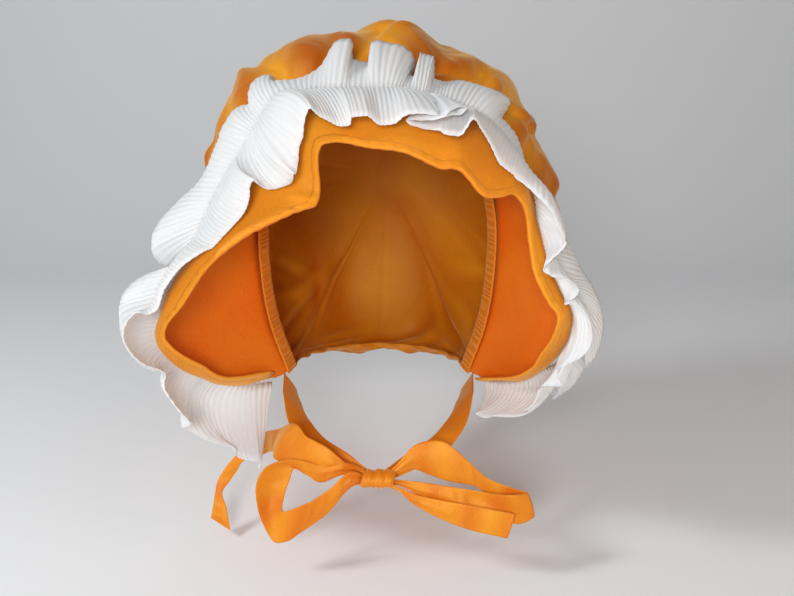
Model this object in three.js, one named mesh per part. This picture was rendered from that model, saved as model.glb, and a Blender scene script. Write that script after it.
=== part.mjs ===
// Poke bonnet: a puffed cloth crown, a poke brim with a rolled hem, a pleated two-edged ruffle
// sewn on the brim's shoulder, and two ties knotted in a bow below the chin.
// Millimetres, +Z up. The wearer looks along -Y. The origin is the head seat: the inner face of
// the seam band at its top centre.
import * as THREE from 'three';

// Cloth thicknesses
const CROWN_CLOTH = 1.5;
const BRIM_CLOTH = 2.0;
const HEM_CLOTH = 3.0;
const BAND_CLOTH = 1.5;
const RUFFLE_CLOTH = 1.2;
const TIE_CLOTH = 1.2;

// Gaps between neighbouring pieces
const SEAM_GAP = 1.8;
const BAND_INSET = 2.2;
const RUFFLE_LIFT = 2.6;

// How finely each piece is divided
const CROWN_COLUMNS = 76;
const CROWN_SIDE_ROWS = 6;
const CROWN_BACK_ROWS = 7;
const BRIM_COLUMNS = 62;
const BRIM_ROWS = 7;
const BAND_COLUMNS = 48;
const RUFFLE_STEP = 0.022;
const RUFFLE_HALF_ROWS = 4;

// Turns rows of numbers into rows with named columns.
const table = (names, rows) => rows.map(
  (row) => Object.fromEntries(names.split(' ').map((name, i) => [name, row[i]])),
);

// Right half of the seam where crown and brim meet, from top centre (0) to the end by the jaw (1)
const HALF_SEAM = table('along x y z', [
  [0.00, 0, 0, 3],
  [0.17, 40, 0, -6],
  [0.33, 66, -1, -32],
  [0.51, 79, -2, -70],
  [0.68, 80, -2, -110],
  [0.85, 75, 0, -150],
  [1.00, 64, 2, -186],
]);

// Right half of the crown's plain neck edge, from the seam's end to the nape
const HALF_NECK = table('along x y z', [
  [1.00, 64, 2, -186],
  [1.10, 56, 40, -189],
  [1.20, 34, 68, -191],
  [1.30, 0, 80, -192],
]);
const NAPE = 1.30;

// Brim sections. The shoulder lies reach from the seam, flare degrees outward of straight ahead.
// The hem lies fall beyond the shoulder, bend degrees outward, and sway along the seam.
const BRIM_SECTIONS = table('along reach flare fall bend sway', [
  [-1.00, 12, 62, 6, -40, 6],
  [-0.97, 34, 55, 16, -14, 10],
  [-0.91, 53, 50, 26, -8, 18],
  [-0.84, 68, 49, 31, -5, 20],
  [-0.78, 74, 47, 28, -14, 12],
  [-0.72, 73, 43, 30, -28, 8],
  [-0.63, 65, 37, 34, -36, 7],
  [-0.54, 55, 30, 46, -45, 7],
  [-0.44, 48, 24, 57, -54, 3],
  [-0.34, 45, 19, 62, -59, 0],
  [-0.28, 44, 21, 59, -60, 0],
  [-0.20, 44, 25, 47, -50, 5],
  [-0.15, 42, 18, 44, -43, 4],
  [-0.05, 41, 10, 49, -38, 6],
  [0.06, 41, 10, 52, -36, 5],
  [0.14, 41, 10, 54, -36, 14],
  [0.20, 41, 14, 51, -31, 16],
  [0.26, 42, 20, 52, -33, 25],
  [0.31, 42, 22, 41, -28, 23],
  [0.36, 44, 21, 30, -19, 15],
  [0.42, 46, 22, 25, -14, 10],
  [0.50, 47, 27, 28, -21, 13],
  [0.57, 51, 31, 31, -23, 12],
  [0.64, 56, 35, 31, -16, 11],
  [0.70, 62, 39, 29, -17, 5],
  [0.76, 63, 44, 27, -29, 5],
  [0.82, 58, 47, 26, -34, 3],
  [0.89, 47, 49, 24, -24, -2],
  [0.96, 31, 53, 17, -33, -3],
  [1.00, 12, 50, 8, -50, 0],
]);
const HEM_FROM = 0.9;

// Ruffle folds. Each half of the strip leaves the gather line at swing degrees above the brim and
// leans along the line. frontWidth is the part of the strip's width in front of the gather line.
const RUFFLE_WIDTH = 72;
const RUFFLE_FOLDS = table('along frontSwing frontLean backSwing backLean frontWidth', [
  [-1.00, 85, 21, 95, 15, 62],
  [-0.97, 82, 8, 100, 7, 49],
  [-0.92, 70, -18, 102, -17, 41],
  [-0.87, 65, -30, 110, -28, 39],
  [-0.83, 60, -15, 90, -30, 36],
  [-0.76, 40, 0, 96, -32, 36],
  [-0.70, 25, 5, 100, -24, 36],
  [-0.65, 35, 5, 86, -24, 36],
  [-0.61, 45, -5, 120, -20, 36],
  [-0.56, 10, -12, 82, -50, 36],
  [-0.52, 4, -18, 86, -45, 36],
  [-0.48, 5, -20, 65, -25, 36],
  [-0.42, 15, -20, 42, -16, 36],
  [-0.36, 28, -22, 40, -12, 36],
  [-0.31, 10, -32, 44, -10, 36],
  [-0.285, 14, -24, 46, -6, 36],
  [-0.265, 16, -12, 26, 0, 36],
  [-0.24, 16, 14, 47, 8, 36],
  [-0.21, 32, 22, 47, 4, 36],
  [-0.18, 30, 16, 34, -12, 36],
  [-0.15, 22, 10, 30, -8, 36],
  [-0.125, 16, 6, 48, 14, 36],
  [-0.08, 15, -2, 53, 11, 36],
  [-0.055, 20, -4, 28, 5, 36],
  [-0.025, 20, -2, 26, 2, 36],
  [0.00, 11, 2, 44, -2, 36],
  [0.03, 12, 5, 46, 4, 36],
  [0.05, 22, 6, 40, 10, 36],
  [0.07, 27, 18, 18, 7, 36],
  [0.09, 34, 38, 36, 1, 36],
  [0.12, 26, 10, 35, 0, 36],
  [0.135, 20, -2, 20, 4, 36],
  [0.17, 16, 5, 31, 10, 36],
  [0.23, 26, -12, 44, 18, 36],
  [0.27, 24, -24, 24, 10, 36],
  [0.34, 16, -38, 38, 14, 36],
  [0.42, 7, -27, 49, 15, 36],
  [0.48, 8, -15, 51, 25, 36],
  [0.52, 20, -10, 40, 28, 36],
  [0.57, 12, 0, 52, 45, 36],
  [0.65, 8, 10, 74, 50, 36],
  [0.73, 15, 15, 86, 47, 36],
  [0.77, 35, 5, 67, 33, 36],
  [0.84, 15, 5, 83, 48, 36],
  [0.90, 35, 5, 76, 34, 36],
  [0.95, 25, 10, 88, 30, 32],
  [1.00, 50, -15, 95, 35, 24],
]);
const RUFFLE_END_STEP = 240;
const NARROWEST_BRIM = 30;

// Crown sections: the bag's greatest radius about its axis, and how far behind the seam that lies
const CROWN_AXIS_X = 4;
const CROWN_AXIS_Z = -72;
const CROWN_DEPTH = 148;
const CROWN_CHEEK = 0.42;
// Where the crown's side ends, and the slit between it and the back
const CROWN_BREAK = 0.46;
const CROWN_SLIT = 0.007;
const CROWN_SECTIONS = table('along puff depth', [
  [-1.30, 128, 104],
  [-1.20, 131, 90],
  [-1.10, 134, 66],
  [-1.00, 134, 50],
  [-0.85, 126, 48],
  [-0.68, 120, 50],
  [-0.51, 124, 52],
  [-0.37, 128, 52],
  [-0.21, 130, 50],
  [-0.13, 124, 50],
  [-0.06, 117, 50],
  [0.03, 124, 50],
  [0.12, 111, 50],
  [0.20, 117, 50],
  [0.28, 123, 50],
  [0.35, 115, 50],
  [0.44, 117, 50],
  [0.55, 124, 50],
  [0.68, 120, 50],
  [0.85, 126, 48],
  [1.00, 134, 50],
  [1.10, 134, 66],
  [1.20, 131, 90],
  [1.30, 128, 104],
]);
const CROWN_GATHERS = 19;
const GATHER_HEIGHT = 2.4;

const BAND_WIDTH = 11;

// Ribbon routes, from the bow's knot or the seam's end. turn 0 shows the ribbon's face to the
// front, and wide is its width there, drawn in at the knot.
const TIE_ROUTE = table('x y z turn wide', [
  [63, 6, -195, 90, 18],
  [60, -10, -201, 78, 18],
  [53, -30, -211, 70, 18],
  [39, -47, -221, 62, 16],
  [23, -54, -228, 40, 12],
  [13, -57, -231, 20, 9],
]);
const BOW_ROUTES = {
  bow_loop_left: table('x y z turn wide', [
    [-10, -71, -239, 0, 8],
    [-30, -77, -245, 8, 14],
    [-48, -81, -253, 10, 17],
    [-62, -81, -257, 20, 18],
    [-70, -77, -249, 35, 18],
    [-68, -73, -238, 30, 17],
    [-58, -71, -233, 10, 15],
    [-38, -70, -233, 0, 12],
    [-14, -69, -233, 0, 8],
  ]),
  bow_loop_right: table('x y z turn wide', [
    [12, -65, -232, 0, 8],
    [33, -63, -223, -10, 15],
    [55, -65, -226, -15, 18],
    [80, -69, -238, -12, 18],
    [94, -73, -245, -30, 18],
    [82, -78, -249, -15, 16],
    [60, -76, -244, 0, 14],
    [34, -73, -239, 0, 12],
    [12, -71, -237, 0, 8],
  ]),
  bow_tail_left: table('x y z turn wide', [
    [-12, -63, -229, 0, 8],
    [-38, -62, -221, 0, 17],
    [-58, -46, -220, 5, 19],
    [-75, -24, -230, 20, 18],
    [-87, -17, -236, 30, 19],
    [-97, -14, -249, 30, 18],
    [-106, -18, -266, 20, 18],
    [-113, -26, -280, 10, 18],
    [-107, -36, -287, 0, 16],
  ]),
  bow_tail_right: table('x y z turn wide', [
    [12, -75, -241, 0, 8],
    [34, -81, -247, 0, 14],
    [59, -85, -252, 0, 16],
    [84, -87, -255, 0, 17],
  ]),
};
const RIBBON_STEPS_PER_ROW = 3;
const KNOT_CENTRE = new THREE.Vector3(1, -67, -235);
const KNOT_PROFILE = table('radius height', [
  [0, -8],
  [5, -7.5],
  [7, -4],
  [7.5, 0],
  [7, 4],
  [5, 7.5],
  [0, 8],
]);
const KNOT_SIDES = 12;

const FORWARD = new THREE.Vector3(0, -1, 0);
const SLOPE_STEP = 0.002;

// Value of one column of a table at a place along it, on a smooth curve through the rows
function smooth(rows, column, at, key = 'along') {
  const last = rows.length - 1;
  const place = THREE.MathUtils.clamp(at, rows[0][key], rows[last][key]);
  let i = 0;
  while (i < last - 1 && place >= rows[i + 1][key]) i += 1;
  const secant = (k) => (rows[k + 1][column] - rows[k][column]) / (rows[k + 1][key] - rows[k][key]);
  const slope = (k) => {
    if (k === 0) return secant(0);
    if (k === last) return secant(last - 1);
    const before = rows[k][key] - rows[k - 1][key];
    const after = rows[k + 1][key] - rows[k][key];
    return (before * secant(k) + after * secant(k - 1)) / (before + after);
  };
  const span = rows[i + 1][key] - rows[i][key];
  const u = (place - rows[i][key]) / span;
  return (2 * u ** 3 - 3 * u ** 2 + 1) * rows[i][column]
    + (u ** 3 - 2 * u ** 2 + u) * span * slope(i)
    + (3 * u ** 2 - 2 * u ** 3) * rows[i + 1][column]
    + (u ** 3 - u ** 2) * span * slope(i + 1);
}

const smoothPoint = (rows, at) => new THREE.Vector3(
  smooth(rows, 'x', at),
  smooth(rows, 'y', at),
  smooth(rows, 'z', at),
);

// The whole seam, left end (-1) to right end (1)
const SEAM = [
  ...HALF_SEAM.slice(1).reverse().map(({ along, x, y, z }) => ({ along: -along, x: -x, y, z })),
  ...HALF_SEAM,
];
const seamAt = (along) => smoothPoint(SEAM, along);

// Direction along the seam, and outward from it, both upright in the seam's plane
function seamFrame(along) {
  const run = seamAt(along + SLOPE_STEP).sub(seamAt(along - SLOPE_STEP)).setY(0).normalize();
  return { run, out: new THREE.Vector3(-run.z, 0, run.x) };
}

// Seam, shoulder and hem points of the brim's section
function brimSection(along) {
  const column = (name) => smooth(BRIM_SECTIONS, name, along);
  const { run, out } = seamFrame(along);
  const flare = THREE.MathUtils.degToRad(column('flare'));
  const bend = THREE.MathUtils.degToRad(column('bend'));
  const seam = seamAt(along);
  const shoulder = seam.clone()
    .addScaledVector(FORWARD, column('reach') * Math.cos(flare))
    .addScaledVector(out, column('reach') * Math.sin(flare));
  const hem = shoulder.clone()
    .addScaledVector(FORWARD, column('fall') * Math.cos(bend))
    .addScaledVector(out, column('fall') * Math.sin(bend))
    .addScaledVector(run, column('sway'));
  return { seam, shoulder, hem };
}

// Point of the brim: across runs from the seam (0) over the shoulder (0.5) to the hem (1).
function brimAt(along, across) {
  const { seam, shoulder, hem } = brimSection(along);
  const control = shoulder.clone().multiplyScalar(2).addScaledVector(seam, -0.5)
    .addScaledVector(hem, -0.5);
  return seam.multiplyScalar((1 - across) ** 2)
    .addScaledVector(control, 2 * across * (1 - across))
    .addScaledVector(hem, across ** 2);
}

// Place on the brim's outer side, lifted off it, and carried on straight past the two ends
function overBrim(along, across, lift) {
  const limit = 1 - SLOPE_STEP;
  const inside = THREE.MathUtils.clamp(along, -limit, limit);
  const run = brimAt(inside + SLOPE_STEP, across).sub(brimAt(inside - SLOPE_STEP, across));
  const down = brimAt(inside, across + SLOPE_STEP).sub(brimAt(inside, across - SLOPE_STEP));
  const out = down.cross(run).normalize();
  return brimAt(inside, across)
    .addScaledVector(out, lift)
    .addScaledVector(run.normalize(), (along - inside) * RUFFLE_END_STEP);
}

// Point of the ruffle: across runs from the back edge (-1) over the gather line (0) to the
// front edge (1).
function ruffleAt(along, across) {
  const side = across < 0 ? 'back' : 'front';
  const frontWidth = smooth(RUFFLE_FOLDS, 'frontWidth', along);
  const width = across < 0 ? RUFFLE_WIDTH - frontWidth : frontWidth;
  const swing = THREE.MathUtils.degToRad(smooth(RUFFLE_FOLDS, `${side}Swing`, along));
  const lean = THREE.MathUtils.degToRad(smooth(RUFFLE_FOLDS, `${side}Lean`, along));
  const distance = across * width;
  const { seam, hem } = brimSection(along);
  const sectionLength = Math.max(seam.distanceTo(hem), NARROWEST_BRIM);
  const ahead = Math.min(along + SLOPE_STEP, 1);
  const behind = Math.max(along - SLOPE_STEP, -1);
  const lineLength = brimAt(ahead, 0.5).distanceTo(brimAt(behind, 0.5)) / (ahead - behind);
  const slip = Math.abs(distance) * Math.sin(lean);
  const over = distance * Math.cos(lean) * Math.cos(swing);
  const up = Math.abs(distance) * Math.cos(lean) * Math.sin(swing);
  return overBrim(along + slip / lineLength, 0.5 + over / sectionLength, up + RUFFLE_LIFT);
}

// The crown's edge: the seam in front, the neck edge behind
function crownEdge(along) {
  if (Math.abs(along) <= 1) return seamAt(along);
  const edge = smoothPoint(HALF_NECK, Math.abs(along));
  edge.x *= Math.sign(along);
  return edge;
}

// Point of the crown: inward runs from its edge (0) over the cheek of the bag to the back (1).
function crownAt(along, inward) {
  const edge = crownEdge(along);
  const front = edge.y + SEAM_GAP;
  const puff = smooth(CROWN_SECTIONS, 'puff', along);
  const depth = smooth(CROWN_SECTIONS, 'depth', along);
  const ray = new THREE.Vector3(edge.x - CROWN_AXIS_X, 0, edge.z - CROWN_AXIS_Z);
  const edgeRadius = ray.length();
  const wave = Math.cos(2 * Math.PI * CROWN_GATHERS * (along + NAPE) / (2 * NAPE));
  const gather = GATHER_HEIGHT * wave * Math.sin(Math.PI * Math.min(1, inward / (2 * CROWN_CHEEK)));
  let radius;
  let y;
  if (inward < CROWN_CHEEK) {
    const turn = 0.5 * Math.PI * inward / CROWN_CHEEK;
    radius = edgeRadius + (puff - edgeRadius) * Math.sin(turn);
    y = front + (depth - front) * (1 - Math.cos(turn));
  } else {
    const turn = 0.5 * Math.PI * (inward - CROWN_CHEEK) / (1 - CROWN_CHEEK);
    radius = puff * Math.cos(turn);
    y = depth + (CROWN_DEPTH - depth) * Math.sin(turn);
  }
  ray.setLength(radius + gather);
  return new THREE.Vector3(CROWN_AXIS_X + ray.x, y, CROWN_AXIS_Z + ray.z);
}

// Closed cloth wall on a grid of middle points. grid[i][j] is row i, column j. Rows may close on
// themselves, and the last row may be a single point.
function clothWall(grid, thicknessAt, { closed = false, pole = false } = {}) {
  const rows = grid.length;
  const columns = grid[0].length;
  const column = (j) => (closed ? (j + columns) % columns : THREE.MathUtils.clamp(j, 0, columns - 1));
  const row = (i) => THREE.MathUtils.clamp(i, 0, rows - 1);
  const positions = [];
  const outer = [];
  const inner = [];
  for (let i = 0; i < rows; i += 1) {
    outer.push([]);
    inner.push([]);
    for (let j = 0; j < columns; j += 1) {
      const along = grid[i][column(j + 1)].clone().sub(grid[i][column(j - 1)]);
      const down = grid[row(i + 1)][j].clone().sub(grid[row(i - 1)][j]);
      const normal = down.cross(along).normalize();
      if (pole && i === rows - 1) normal.set(0, 1, 0);
      const half = thicknessAt(i / (rows - 1)) / 2;
      for (const [side, sign] of [[outer, 1], [inner, -1]]) {
        side[i].push(positions.length / 3);
        positions.push(...grid[i][j].clone().addScaledVector(normal, sign * half).toArray());
      }
    }
  }
  const indices = [];
  const quad = (a, b, c, d) => indices.push(a, b, c, a, c, d);
  const spans = closed ? columns : columns - 1;
  const lastRow = pole ? rows - 2 : rows - 1;
  for (let j = 0; j < spans; j += 1) {
    const k = column(j + 1);
    for (let i = 0; i < lastRow; i += 1) {
      quad(outer[i][j], outer[i + 1][j], outer[i + 1][k], outer[i][k]);
      quad(inner[i][j], inner[i][k], inner[i + 1][k], inner[i + 1][j]);
    }
    quad(inner[0][j], outer[0][j], outer[0][k], inner[0][k]);
    if (pole) {
      indices.push(outer[lastRow][j], outer[rows - 1][0], outer[lastRow][k]);
      indices.push(inner[lastRow][j], inner[lastRow][k], inner[rows - 1][0]);
    } else {
      quad(outer[lastRow][j], inner[lastRow][j], inner[lastRow][k], outer[lastRow][k]);
    }
  }
  if (!closed) {
    const end = columns - 1;
    for (let i = 0; i < lastRow; i += 1) {
      quad(outer[i][0], inner[i][0], inner[i + 1][0], outer[i + 1][0]);
      quad(outer[i][end], outer[i + 1][end], inner[i + 1][end], inner[i][end]);
    }
  }
  return solid(positions, indices);
}

// Geometry with its faces turned outward
function solid(positions, indices) {
  const corner = (i) => new THREE.Vector3().fromArray(positions, 3 * indices[i]);
  let volume = 0;
  for (let i = 0; i < indices.length; i += 3) {
    volume += corner(i).dot(corner(i + 1).cross(corner(i + 2)));
  }
  const geometry = new THREE.BufferGeometry();
  geometry.setAttribute('position', new THREE.Float32BufferAttribute(positions, 3));
  geometry.setIndex(volume > 0 ? indices : indices.reverse());
  geometry.computeVertexNormals();
  return geometry;
}

// Grid of points from a function of (along, across)
function gridOf(rows, columns, pointAt) {
  return Array.from({ length: rows + 1 }, (_, i) => Array.from(
    { length: columns },
    (__, j) => pointAt(i, j),
  ));
}

// Evenly spaced numbers
const even = (rows, from, to) => Array.from(
  { length: rows + 1 },
  (_, i) => THREE.MathUtils.lerp(from, to, i / rows),
);

// Part of the crown, with rows of points at these places from its edge inward
function crown(rowsAt) {
  const grid = gridOf(rowsAt.length - 1, CROWN_COLUMNS, (i, j) => crownAt(
    NAPE * (2 * j / CROWN_COLUMNS - 1),
    rowsAt[i],
  ));
  return clothWall(grid, () => CROWN_CLOTH, { closed: true, pole: rowsAt.at(-1) === 1 });
}

function brim() {
  const grid = gridOf(BRIM_ROWS, BRIM_COLUMNS + 1, (i, j) => brimAt(
    2 * j / BRIM_COLUMNS - 1,
    i / BRIM_ROWS,
  ));
  return clothWall(grid, (across) => (across > HEM_FROM ? HEM_CLOTH : BRIM_CLOTH));
}

function seamBand() {
  const grid = gridOf(2, BAND_COLUMNS + 1, (i, j) => {
    const along = 2 * j / BAND_COLUMNS - 1;
    const { out } = seamFrame(along);
    return seamAt(along)
      .addScaledVector(out, -BAND_INSET)
      .addScaledVector(FORWARD, BAND_WIDTH * (i / 2 - 0.5));
  });
  return clothWall(grid, () => BAND_CLOTH);
}

// Places along the gather line, with one on the ridge of every fold
function ruffleColumns() {
  const places = [RUFFLE_FOLDS[0].along];
  RUFFLE_FOLDS.slice(1).forEach(({ along }, k) => {
    const from = RUFFLE_FOLDS[k].along;
    const steps = Math.max(1, Math.round((along - from) / RUFFLE_STEP));
    for (let i = 1; i <= steps; i += 1) places.push(from + (along - from) * i / steps);
  });
  return places;
}

function ruffle() {
  const places = ruffleColumns();
  const grid = gridOf(2 * RUFFLE_HALF_ROWS, places.length, (i, j) => ruffleAt(
    places[j],
    i / RUFFLE_HALF_ROWS - 1,
  ));
  return clothWall(grid, () => RUFFLE_CLOTH);
}

// Flat ribbon along a route
function ribbon(route) {
  const centre = new THREE.CatmullRomCurve3(route.map(({ x, y, z }) => new THREE.Vector3(x, y, z)));
  const keyed = route.map((row, i) => ({ ...row, along: i / (route.length - 1) }));
  const steps = RIBBON_STEPS_PER_ROW * (route.length - 1);
  const grid = gridOf(steps, 3, (i, j) => {
    const along = i / steps;
    const tangent = centre.getTangent(along);
    const turn = THREE.MathUtils.degToRad(smooth(keyed, 'turn', along));
    const side = tangent.clone().cross(FORWARD).normalize().applyAxisAngle(tangent, turn);
    const reach = smooth(keyed, 'wide', along) * (j / 2 - 0.5);
    return centre.getPoint(along).addScaledVector(side, reach);
  });
  return clothWall(grid, () => TIE_CLOTH);
}

function knot() {
  const profile = KNOT_PROFILE.map(({ radius, height }) => new THREE.Vector2(radius, height));
  const geometry = new THREE.LatheGeometry(profile, KNOT_SIDES);
  return geometry.rotateZ(Math.PI / 2).translate(...KNOT_CENTRE.toArray());
}

const ORANGE_CLOTH = new THREE.MeshStandardMaterial({ color: 0xd9780f, roughness: 0.62 });
const ORANGE_RIBBON = new THREE.MeshStandardMaterial({ color: 0xe08a1e, roughness: 0.6 });
const WHITE_PLEATED_CLOTH = new THREE.MeshStandardMaterial({ color: 0xeef0f2, roughness: 0.7 });
for (const material of [ORANGE_CLOTH, ORANGE_RIBBON, WHITE_PLEATED_CLOTH]) {
  material.metalness = 0;
}

const bonnet = new THREE.Group();

function addPiece(name, geometry, material) {
  const piece = new THREE.Mesh(geometry, material);
  piece.name = name;
  bonnet.add(piece);
}

const sideRows = [...even(CROWN_SIDE_ROWS, 0, CROWN_BREAK - CROWN_SLIT), CROWN_BREAK];
const backRows = [CROWN_BREAK + CROWN_SLIT, ...even(CROWN_BACK_ROWS, CROWN_BREAK + 2 * CROWN_SLIT, 1)];
addPiece('crown_side', crown(sideRows), ORANGE_CLOTH);
addPiece('crown_back', crown(backRows), ORANGE_CLOTH);
addPiece('brim', brim(), ORANGE_CLOTH);
addPiece('seam_band', seamBand(), ORANGE_CLOTH);
addPiece('ruffle', ruffle(), WHITE_PLEATED_CLOTH);
const mirrored = TIE_ROUTE.map((row) => ({ ...row, x: -row.x, turn: -row.turn }));
addPiece('tie_right', ribbon(TIE_ROUTE), ORANGE_RIBBON);
addPiece('tie_left', ribbon(mirrored), ORANGE_RIBBON);
addPiece('bow_knot', knot(), ORANGE_RIBBON);
for (const [name, route] of Object.entries(BOW_ROUTES)) {
  addPiece(name, ribbon(route), ORANGE_RIBBON);
}

export default bonnet;
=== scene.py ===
"""Poke bonnet: the looks of its cloth, pleats, hem, stitches and bow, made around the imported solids."""
import math

import bpy
import numpy as np
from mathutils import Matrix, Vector


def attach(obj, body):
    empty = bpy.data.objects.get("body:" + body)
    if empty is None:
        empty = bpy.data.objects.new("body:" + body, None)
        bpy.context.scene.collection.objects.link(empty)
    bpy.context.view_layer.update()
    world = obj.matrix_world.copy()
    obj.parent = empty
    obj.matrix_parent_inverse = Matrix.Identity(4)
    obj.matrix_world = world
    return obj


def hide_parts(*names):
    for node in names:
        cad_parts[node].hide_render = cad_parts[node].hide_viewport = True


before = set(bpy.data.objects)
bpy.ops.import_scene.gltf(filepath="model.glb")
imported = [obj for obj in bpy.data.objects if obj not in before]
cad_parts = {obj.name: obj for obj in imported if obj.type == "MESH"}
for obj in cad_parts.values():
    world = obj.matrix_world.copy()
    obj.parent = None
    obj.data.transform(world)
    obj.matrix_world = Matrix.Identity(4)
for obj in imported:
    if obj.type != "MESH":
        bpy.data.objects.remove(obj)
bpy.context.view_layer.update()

# Lengths are in millimetres and angles in degrees, unless a comment says otherwise
MM = 0.001
FORWARD = np.array([0, -1.0, 0])

# The photograph's camera
CAMERA_AT = (13, -617, 45)
CAMERA_TILT = 16
CAMERA_LENS = 42.4
CAMERA_SENSOR = 36
CAMERA_NEAR = 10

# Floor, which bends up into a back wall
FLOOR_Z = -296
FLOOR_REACH = 3000
FLOOR_BEND_START = 700
FLOOR_BEND_RADIUS = 500
FLOOR_BEND_LINES = 13
FLOOR_COLOUR = (0.92, 0.92, 0.93)
FLOOR_ROUGHNESS = 0.9

# Soft lamps: place and size in metres, power in watts, and colour
LAMP_AIM = (0, 0, -0.1)
LAMPS = {
    "front": {"at": (-0.15, -1.25, 0.25), "size": 0.4, "power": 9.6, "colour": (0.95, 0.98, 1.0)},
    "left": {"at": (-0.9, -0.35, 0.55), "size": 0.3, "power": 6.0, "colour": (0.94, 0.98, 1.0)},
    "right": {"at": (0.9, -0.5, 0.1), "size": 0.4, "power": 1.6, "colour": (1.0, 0.74, 0.50)},
    "top": {"at": (-0.2, 0.3, 1.1), "size": 0.5, "power": 0.15, "colour": (1.0, 1.0, 1.0)},
}
WORLD_COLOUR = (0.86, 0.88, 0.9)
WORLD_STRENGTH = 0.22

# Crown: its cloth, its mesh, and its cloth length for each unit along its edge and from there to its back
CROWN_CLOTH = 1.0
CROWN_COLUMNS = 420
CROWN_ROWS = 104
CROWN_ROUND = 290
CROWN_DOWN = 250
CROWN_SEAM_GAP = 1.8
# Gathers at the crown's seam
GATHER_HEIGHT = 2.3
GATHER_PITCH = 15
GATHER_REACH = 0.18
GATHER_DRIFT = 5
GATHER_DRIFT_PITCH = 60
# Short creases all over the crown, each picked between these limits
CREASES = 70
CREASE_DEPTH = 7
CREASE_INWARD = (0.08, 0.8)
CREASE_TURN = 90
CREASE_TURN_SPREAD = 38
CREASE_RUN = (16, 50)
CREASE_WIDTH = (5, 11)
CREASE_SHARE = (0.6, 1.0)
CREASE_BOW = 0.004
# Slack waves of the crown's back
SAG_HEIGHT = 2.0
SAG_PITCH = 85
SAG_SLANT = 0.5
SAG_DRIFT = 8
SAG_DRIFT_PITCH = 80
# Where these start or end on the way from the crown's edge (0) to its back (1)
GATHERS_START = (0, 0.03)
CREASES_START = (0, 0.06)
CREASES_END = (0.95, 0.55)
CREASES_END_POWER = 1.5
SAG_START = (0.45, 0.70)
BACK_END = (1.0, 0.9)

# Brim: its cloth and mesh, and its rolled hem, thinner near the two ends
BRIM_CLOTH = 1.3
BRIM_COLUMNS = 340
BRIM_ROWS = 26
BRIM_SAMPLES = 160
BRIM_END_RUN = 240
HEM_WIDTH = 5.2
HEM_SPARE = 4
HEM_ROLL = 3.2
HEM_ROLL_LOW = 2.0
HEM_LOW_START = (0.66, 0.82)
HEM_STEP = (HEM_WIDTH + 0.3, HEM_WIDTH - 0.8)
HEM_ROUNDING = 1.3
HEM_THINNEST = 0.02
HEM_ROWS = np.array([
    HEM_WIDTH + 0.9, HEM_WIDTH + 0.3, HEM_WIDTH - 0.2, HEM_WIDTH - 0.8,
    3.7, 2.8, 2.0, 1.2, 0.7, 0.3, 0.1, 0,
])
# Puckers along the hem, and slow waves over the brim
PUCKER_HEIGHT = 0.28
PUCKER_PITCH = 8.5
PUCKER_SLANT = 0.5
PUCKER_MIDDLE = 3
PUCKER_REACH = 7.0
BRIM_WAVE = 0.8
BRIM_WAVE_PITCH = 52
BRIM_WAVE_SLANT = 0.6

# Ruched band over the seam
BAND_CLOTH = 0.9
BAND_COLUMNS = 1200
BAND_ROWS = 9
BAND_WIDTH = 13
BAND_FRONT_INSET = 1.6
BAND_BACK_INSET = 6.0
BAND_GATHER = 4.2
BAND_DRIFT = 3
BAND_DRIFT_PITCH = 31
BAND_RUCHE = 0.6
BAND_RUCHE_AT_STITCH = BAND_RUCHE / 4

# Ruffle: its cloth, its mesh and its pleats
RUFFLE_CLOTH = 0.5
RUFFLE_WIDTH = 72
RUFFLE_LIFT = 2.4
RUFFLE_ROWS = 19
RUFFLE_SAMPLES = 4001
RUFFLE_SAMPLE_LINES = (-1, -0.5, 0, 0.5, 1)
LEAST_SECTION = 30
PLEAT_PITCH = 3.6
PLEAT_POINTS = 6
PLEAT_DEPTH = 0.22
PLEAT_AT_STITCH = 0.34

# Ribbons of the ties and the bow: spare width shows as folds near the knot
TIE_CLOTH = 0.7
RIBBON_WIDTH = 19
RIBBON_STEP = 0.9
RIBBON_LINES = 21
RIBBON_NARROWEST = 3
RIBBON_FOLD = 0.05
FOLD_WAVES = 2
FOLD_SHIFT = 0.7
FOLD_WIDEST = 12
FOLD_SPARE_MOST = 4
FOLD_REACH = 16
STRAP_WAVE = 0.8
STRAP_WAVE_PITCH = 30
BOW_WAVE = 0.35
BOW_WAVE_PITCH = 24
BOW_RIPPLE = 0.2
BOW_RIPPLE_PITCH = 11

# Knot: its middle and half sizes, a groove, rounded ends, and broad and fine creases
KNOT_AT = np.array([0.5, -68.5, -233.5])
KNOT_HALF_WIDTH = 10.5
KNOT_HALF_DEPTH = 7.4
KNOT_HALF_HEIGHT = 5.2
KNOT_SKEW = 1.0
KNOT_COLUMNS = 72
KNOT_ROWS = 27
KNOT_GROOVE = 0.10
KNOT_GROOVE_AT = -0.35
KNOT_GROOVE_WIDTH = 0.16
KNOT_END = 0.25
KNOT_END_POWER = 6
KNOT_BROAD = 0.30
KNOT_BROAD_RATE = 11
KNOT_BROAD_BEND = 1.6
KNOT_BROAD_SHIFT = 0.6
KNOT_FINE = 0.18
KNOT_FINE_RATE = 23
KNOT_FINE_TURNS = 3

# Stitches: their sizes, and the ends, points, lift and place of their lines
HEM_STITCH = {"Pitch": 3.0, "Stitch length": 2.1, "Thread radius": 0.22}
HEM_STITCH_END = 0.985
HEM_STITCH_POINTS = 900
HEM_STITCH_LIFT = 1.15
HEM_STITCH_INSET = 1.2
HEM_STITCH_SHARE = 0.45
LEAST_FALL = 10
GATHER_STITCH = {"Pitch": 2.6, "Stitch length": 1.9, "Thread radius": 0.25}
GATHER_STITCH_END = 0.99
GATHER_STITCH_POINTS = 1400
GATHER_STITCH_LIFT = RUFFLE_LIFT + 1.0
THREAD_SEGMENTS = 6
THREAD_RINGS = 4

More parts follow.
